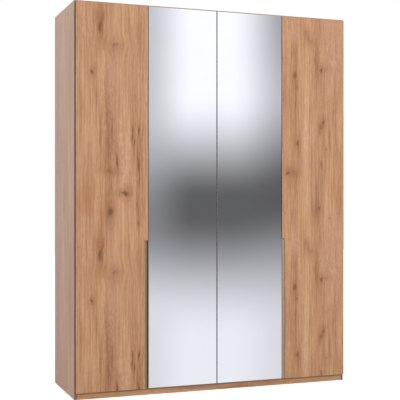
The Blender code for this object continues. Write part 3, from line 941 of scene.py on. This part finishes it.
def hinge_arm_shape(low, high, swing_x):
    """Channel arm, links, mounting plate and screws inside the CAD arm's box, turned by swing_x.

    low and high are the CAD arm's corners from its own middle height. Local X runs from the
    panel into the compartment, local Y backwards and local Z up.
    """
    shape = bmesh.new()
    reach = high.x - low.x
    depth = high.y - low.y
    origin = (low.x if swing_x > 0 else high.x, low.y, 0)
    base = Matrix.Translation(origin) @ Matrix.Diagonal((swing_x, 1, 1, 1))

    rear_x = reach - ARM_FALL
    web = [(reach, NOSE_Y), (reach, KNEE_Y), (rear_x, depth)]
    add_strip(shape, web, SHEET, -ARM_HALF, ARM_HALF, base)
    cheek = [
        (reach - 0.0004, NOSE_Y + 0.0010),
        (reach - 0.0004, KNEE_Y),
        (rear_x - 0.0004, depth),
        (0.0032, depth),
        (0.0032, NECK_Y),
        (reach - 0.0068, KNEE_Y),
        (reach - 0.0068, NOSE_Y + 0.0030),
        (reach - 0.0050, NOSE_Y + 0.0010),
    ]
    for side in (-1, 1):
        cheek_low, cheek_high = sorted((side * ARM_HALF, side * (ARM_HALF - SHEET)))
        add_prism(shape, cheek, cheek_low, cheek_high, base, SHEET_ROUNDING, 1)

    # An outer link of two plates and an inner one, from the arm's nose to the cup, with pins
    for inset, link_low, link_high, length in LINKS:
        outline = rounded_outline(LINK_HALF, length / 2, LINK_RADIUS)
        swing = base @ Matrix.Translation((reach - inset, LINK_FRONT + length / 2, 0))
        add_prism(shape, outline, link_low, link_high, swing, SHEET_ROUNDING, 1)
    for inset, pin_y in LINK_PINS:
        add_lathe(shape, PIN_PROFILE, 12, base @ Matrix.Translation((reach - inset, pin_y, 0)))

    # Mounting plate with its raised middle, and the screws
    plate = base @ Matrix.Translation((0, PLATE_Y, 0)) @ Matrix.Rotation(math.pi / 2, 4, "Y")
    for half_x, half_y, radius, plate_low, plate_high in PLATES:
        outline = rounded_outline(half_x, half_y, radius)
        add_prism(shape, outline, plate_low, plate_high, plate, PLATE_ROUNDING, 2)
    for side in (-1, 1):
        seat = (PLATE_TOP, PLATE_Y, side * PLATE_SCREW_RISE)
        add_screw(shape, base @ facing(seat, (1, 0, 0), spin=0.4), *PLATE_SCREW)
    tilt = Vector((depth - KNEE_Y, ARM_FALL, 0)).normalized()
    for screw_y, screw in ((0.0350, ADJUSTING_SCREW), (depth - 0.0105, FIXING_SCREW)):
        share = (screw_y - KNEE_Y) / (depth - KNEE_Y)
        seat = (reach - ARM_FALL * share, screw_y, 0)
        add_screw(shape, base @ facing(seat, tilt, spin=0.2), *screw)
    return shape


def build_hinges():
    """Detailed arms in place of the CAD arms, and the screws on the hinge cups."""
    for door in DOORS:
        swing_x = 1 if door % 2 else -1
        arm_low, arm_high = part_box(f"door_{door}_hinge_arm_1")
        shape = hinge_arm_shape(arm_low, arm_high, swing_x)
        arm_mesh = make_mesh(f"door_{door}_hinge_detail_1", shape, STEEL)
        for place in HINGES:
            low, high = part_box(f"door_{door}_hinge_arm_{place}")
            middle = (0, 0, (low.z + high.z) / 2)
            name = f"door_{door}_hinge_detail_{place}"
            piece = place_piece(name, arm_mesh, "carcass", middle)
            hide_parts(f"door_{door}_hinge_arm_{place}")

            cup_low, cup_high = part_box(f"door_{door}_hinge_cup_{place}")
            cup = (cup_low + cup_high) / 2
            screws = bmesh.new()
            for side in (-1, 1):
                seat = (cup.x, cup_high.y, cup.z + side * CUP_SCREW_RISE)
                add_screw(screws, facing(seat, (0, 1, 0), spin=0.3 * place), *CUP_SCREW)
            name = f"door_{door}_cup_screws_{place}"
            finish_piece(name, screws, STEEL, f"door_{door}")


# Fittings of the carcass ---------------

# Thickness of a rail socket's flange
SOCKET_FLANGE = 0.0025
# Distance of shelf supports and pin holes from the shelves' front and rear edges
ROW_INSET = 0.045
# Section of a shelf support, out from the board beside it and up, and half its length
SUPPORT_PROFILE = (
    (0.0001, -0.0002),
    (0.0100, -0.0002),
    (0.0100, -0.0014),
    (0.0028, -0.0014),
    (0.0014, -0.0028),
    (0.0014, -0.0140),
    (0.0001, -0.0140),
)
SUPPORT_HALF = 0.0065
# Gap between a shelf's end and the board beside it
SHELF_GAP = 0.0006
# How far the pin's boss is below the shelf
BOSS_DROP = 0.0088
# Profiles of turned pieces: radius and height
BOSS_PROFILE = ((0, 0.0010), (0.0034, 0.0010), (0.0034, 0.0022), (0.0026, 0.0030), (0, 0.0032))
CAP_RIM = ((0.0078, 0.0006), (0.0085, 0.0001), (0.0085, -0.0002))
CAP_PROFILE = ((0, 0.0009), (0.0040, 0.0009), *CAP_RIM, (0, -0.0002))
# A flat dark disc with a low rim for a shelf-pin hole: painted shade of its inside
HOLE_SHADE_RIM = ((0.0025, 0.00030), (0.0031, 0.00025), (0.0032, -0.0001))
HOLE_SHADE_PROFILE = ((0, 0.00005), (0.0024, 0.00005), *HOLE_SHADE_RIM, (0, -0.0001))
PAD_PROFILE = ((0, 0.0012), (0.0028, 0.0011), (0.0036, 0.0005), (0.0038, -0.0012), (0, -0.0012))
NAIL_PROFILE = ((0, 0.0007), (0.0012, 0.0006), (0.0019, 0.0002), (0.0019, -0.0001), (0, -0.0001))
# Distance of cam fittings from a board's ends, and from its front and rear
CAM_INSETS = (0.034, 0.060)
# Pin holes: height of the lowest, distance, number, and how near they may be to a shelf
PIN_FIRST = 0.350
PIN_PITCH = 0.064
PIN_COUNT = 26
PIN_CLEARANCE = 0.020
# Door stops: half width, half height and corner radius, depths of front and rear, rounding,
# height of the middle below the top, and distance of the pads from the middle
STOP_OUTLINE = (0.034, 0.0065, 0.003)
STOP_DEPTHS = (0.0008, 0.022)
STOP_ROUNDING = 0.0008
STOP_DROP = 0.0066
PAD_REACH = 0.020
# Half the gap between two doors
DOOR_GAP_HALF = 0.0015
# Section of the joint strip, along X and out, and its distance from the backs' ends
STRIP_HALF = ((0.002, 0.0012), (0.010, 0.0008), (0.011, 0.0))
STRIP_PROFILE = (*[(-x, y) for x, y in reversed(STRIP_HALF)], *STRIP_HALF)
STRIP_INSET = 0.004
# Nails: spaces up the back and across it, and distances from edges, joint, bottom and shelf
NAIL_ROWS = 15
NAIL_COLUMNS = 10
NAIL_INSET = 0.007
NAIL_FROM_JOINT = 0.016
NAIL_FROM_BOTTOM = 0.040
NAIL_OVER_SHELF = 0.008


def build_socket_screws():
    """Two screws in each rail socket's flange."""
    for number in RAIL_SOCKETS:
        low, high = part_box(f"rail_socket_{number}")
        middle = (low + high) / 2
        out = 1 if number % 2 else -1
        face_x = low.x + SOCKET_FLANGE if out > 0 else high.x - SOCKET_FLANGE
        shape = bmesh.new()
        for side in (-1, 1):
            seat = (face_x, middle.y, middle.z + side * SOCKET_SCREW_RISE)
            add_screw(shape, facing(seat, (out, 0, 0), spin=0.5 * side), *SOCKET_SCREW)
        finish_piece(f"rail_socket_screws_{number}", shape, STEEL)


def build_shelf_supports():
    """A plated angle on a pin under each corner of the hat shelves."""
    for side in ("left", "right"):
        low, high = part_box(f"{side}_hat_shelf")
        number = 0
        for edge_x, inward in ((low.x - SHELF_GAP, 1), (high.x + SHELF_GAP, -1)):
            for y in (low.y + ROW_INSET, high.y - ROW_INSET):
                number += 1
                base = Matrix.Translation((edge_x, y, low.z)) @ Matrix.Diagonal((inward, 1, 1, 1))
                shape = bmesh.new()
                upright = base @ Matrix.Rotation(math.pi / 2, 4, "X")
                ends = (-SUPPORT_HALF, SUPPORT_HALF)
                add_prism(shape, SUPPORT_PROFILE, *ends, upright, SHEET_ROUNDING, 1)
                add_lathe(shape, BOSS_PROFILE, 20, base @ facing((0, 0, -BOSS_DROP), (1, 0, 0)))
                name = f"{side}_shelf_support_{number}"
                finish_piece(name, shape, STEEL)


def build_cam_covers():
    """Caps over the cam fittings under the tops and on the bottoms."""
    inset_x, inset_y = CAM_INSETS
    for side in ("left", "right"):
        shape = bmesh.new()
        for board, level, direction in (("top_panel", 0, -1), ("bottom_panel", 1, 1)):
            low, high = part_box(f"{side}_{board}")
            z = (low, high)[level].z
            for x in (low.x + inset_x, high.x - inset_x):
                for y in (low.y + inset_y, high.y - inset_y):
                    add_lathe(shape, CAP_PROFILE, 24, facing((x, y, z), (0, 0, direction)))
        finish_piece(f"{side}_cam_covers", shape, CAP_PLASTIC)


def build_row_holes():
    """Shelf-pin holes in two rows up each inner face, drawn as flat dark discs: painted shade of the
    holes.
    """
    faces = (
        ("left_side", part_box("left_side_panel")[1].x, 1),
        ("left_partition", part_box("centre_partition")[0].x, -1),
        ("right_partition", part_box("centre_partition")[1].x, 1),
        ("right_side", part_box("right_side_panel")[0].x, -1),
    )
    shelf_low, shelf_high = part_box("left_hat_shelf")
    for label, x, inward in faces:
        shape = bmesh.new()
        for y in (shelf_low.y + ROW_INSET, shelf_high.y - ROW_INSET):
            for step in range(PIN_COUNT):
                z = PIN_FIRST + PIN_PITCH * step
                if abs(z - shelf_low.z) > PIN_CLEARANCE:
                    add_lathe(shape, HOLE_SHADE_PROFILE, 12, facing((x, y, z), (inward, 0, 0)))
        finish_piece(f"{label}_pin_holes", shape, PAINTED_HOLE_SHADE)


def build_door_stops():
    """A block under each top panel, with two soft pads that the closed doors rest on."""
    for side, sign in (("left", -1), ("right", 1)):
        low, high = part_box(f"{side}_top_panel")
        x = sign * (abs(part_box("door_4_panel")[0].x) - DOOR_GAP_HALF)
        base = Matrix.Translation((x, low.y, low.z - STOP_DROP))
        shape = bmesh.new()
        lying = base @ Matrix.Rotation(-math.pi / 2, 4, "X")
        add_prism(shape, rounded_outline(*STOP_OUTLINE), *STOP_DEPTHS, lying, STOP_ROUNDING)
        for pad_x in (-PAD_REACH, PAD_REACH):
            add_lathe(shape, PAD_PROFILE, 20, base @ facing((pad_x, 0.0003, 0), (0, -1, 0)))
        finish_piece(f"{side}_door_stop", shape, SOCKET)


def build_back_details():
    """Joint strip over the meeting backs, and the nail heads round them."""
    low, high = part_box("left_back_panel")
    right_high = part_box("right_back_panel")[1]
    strip = bmesh.new()
    outline = [(x, high.y + 0.00005 + y) for x, y in STRIP_PROFILE]
    add_prism(strip, outline, low.z + STRIP_INSET, high.z - STRIP_INSET)
    finish_piece("back_joint_strip", strip, CAP_PLASTIC, crease=60)

    places = []
    upright = high.z - low.z - 2 * NAIL_INSET
    columns = (low.x + NAIL_INSET, -NAIL_FROM_JOINT, NAIL_FROM_JOINT, right_high.x - NAIL_INSET)
    for row in range(NAIL_ROWS + 1):
        z = low.z + NAIL_INSET + upright * row / NAIL_ROWS
        places += [(x, z) for x in columns]
    over_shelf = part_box("left_hat_shelf")[0].z + NAIL_OVER_SHELF
    for column in range(1, NAIL_COLUMNS):
        x = low.x + (right_high.x - low.x) * column / NAIL_COLUMNS
        if abs(x) > NAIL_FROM_JOINT:
            places += [(x, z) for z in (low.z + NAIL_FROM_BOTTOM, high.z - NAIL_INSET, over_shelf)]
    nails = bmesh.new()
    for x, z in places:
        add_lathe(nails, NAIL_PROFILE, 10, facing((x, high.y, z), (0, 1, 0)))
    finish_piece("back_nails", nails, STEEL)


build_hinges()
build_socket_screws()
build_shelf_supports()
build_cam_covers()
build_row_holes()
build_door_stops()
build_back_details()


# Stage, light and camera ---------------


def build_floor():
    """Plain pale floor. Mirrors don't see it, and it sends little light back up."""
    mesh = bpy.data.meshes.new("studio_floor")
    signs = ((-1, -1), (1, -1), (1, 1), (-1, 1))
    corners = [(FLOOR_REACH * sign_x, FLOOR_REACH * sign_y, 0) for sign_x, sign_y in signs]
    mesh.from_pydata(corners, [], [(0, 1, 2, 3)])
    floor = bpy.data.objects.new("studio_floor", mesh)
    floor.location.z = CAD_LOW.z - FLOOR_DROP
    bpy.context.scene.collection.objects.link(floor)
    material, graph, shader = new_material("floor")
    rays = graph.node("ShaderNodeLightPath")
    seen = rays.outputs["Is Camera Ray"]
    colour = graph.mix(seen, display(186, 184, 182), display(246, 246, 246))
    glow = graph.times(seen, FLOOR_GLOW)
    graph.fill(shader, Base_Color=colour, Roughness=0.9, Specular_IOR_Level=0.0)
    graph.fill(shader, Emission_Color=WHITE, Emission_Strength=glow)
    mesh.materials.append(material)
    floor.visible_glossy = False


def build_world():
    """White studio. Its front, which the mirrors reflect, has a dark band at eye level."""
    world = bpy.data.worlds.new("studio")
    world.use_nodes = True
    bpy.context.scene.world = world
    graph = Graph(world.node_tree)
    background = world.node_tree.nodes["Background"]
    direction = graph.separate(graph.node("ShaderNodeTexCoord").outputs["Generated"])
    height = graph.times(graph.math("ARCSINE", direction[Z_AXIS]), 180 / math.pi)
    forward = graph.times(direction[Y_AXIS], -1.0)
    bearing = graph.times(graph.math("ARCTAN2", direction[X_AXIS], forward), 180 / math.pi)

    def stretch(below, band, above, ceiling, fall, rise):
        """Grey of a stretch of the front wall.

        The first four are display greys, and may be past white. fall and rise are the degrees
        above eye level between which the wall turns to the dark band and back.
        """
        tones = [display(tone, tone, tone)[0] for tone in (below, band, above, ceiling)]
        ranges = (fall, rise, (rise[1], CEILING_DEGREES))
        level = tones[0]
        for (low, high), before, after in zip(ranges, tones, tones[1:]):
            level = graph.linear(graph.smooth(height, low, high), after - before, level)
        return level

    centre = stretch(241, 97, 259, 259, (-8.5, -0.8), (0.0, 6.7))
    left = stretch(224, 135, 204, 202, (-7.1, -1.5), (-0.7, 5.6))
    right = stretch(221, 94, 186, 164, (-7.8, 0.0), (0.7, 6.3))
    left_share = graph.math("SUBTRACT", 1.0, graph.smooth(bearing, *LEFT_BEARINGS))
    right_share = graph.smooth(bearing, *RIGHT_BEARINGS)
    grey_wall = graph.mix(right_share, graph.mix(left_share, centre, left), right)
    wall = graph.mix(1.0, grey_wall, WALL_TINT, "MULTIPLY")
    seen_in_mirrors = graph.mix(graph.smooth(direction[Y_AXIS], *WALL_END), wall, WHITE)

    tones = [(0.0, (120, 118, 116)), (0.38, (190, 188, 186)), (0.62, (250, 250, 251))]
    room = graph.ramp(graph.between(height, -50.0, 50.0, 0.0, 1.0), tones)
    rays = graph.node("ShaderNodeLightPath")
    glossy = graph.mix(rays.outputs["Is Singular Ray"], room, seen_in_mirrors)
    bounced = graph.mix(rays.outputs["Is Glossy Ray"], display(*FILL_LIGHT), glossy)
    seen = graph.mix(rays.outputs["Is Camera Ray"], bounced, WHITE)
    is_satin = graph.math("SUBTRACT", rays.outputs["Is Glossy Ray"], rays.outputs["Is Singular Ray"])
    gain = graph.linear(graph.math("MAXIMUM", is_satin, 0.0), SHEEN_LIGHT - 1.0, 1.0)
    graph.fill(background, Color=seen, Strength=gain)


def build_softbox():
    """Large soft area light aimed at a point, left out of the reflections."""
    data = bpy.data.lights.new("key_softbox", "AREA")
    data.shape = "RECTANGLE"
    data.size, data.size_y = SOFTBOX_SIZE
    data.energy = SOFTBOX_POWER
    light = bpy.data.objects.new("key_softbox", data)
    light.location = SOFTBOX_PLACE
    aim = Vector(SOFTBOX_TARGET) - Vector(SOFTBOX_PLACE)
    light.rotation_euler = aim.to_track_quat("-Z", "Y").to_euler()
    light.visible_glossy = False
    bpy.context.scene.collection.objects.link(light)


def build_camera():
    """Level camera on the left of the front, turned towards the wardrobe's middle."""
    data = bpy.data.cameras.new("camera")
    data.lens = CAMERA_LENS
    data.sensor_width = CAMERA_SENSOR
    data.clip_end = CAMERA_REACH
    camera = bpy.data.objects.new("camera", data)
    camera.location = CAMERA_PLACE
    camera.rotation_euler = (math.radians(90), 0, math.radians(-CAMERA_TURN))
    bpy.context.scene.collection.objects.link(camera)
    bpy.context.scene.camera = camera


build_floor()
build_world()
build_softbox()
build_camera()
bpy.context.scene.view_settings.view_transform = "Standard"
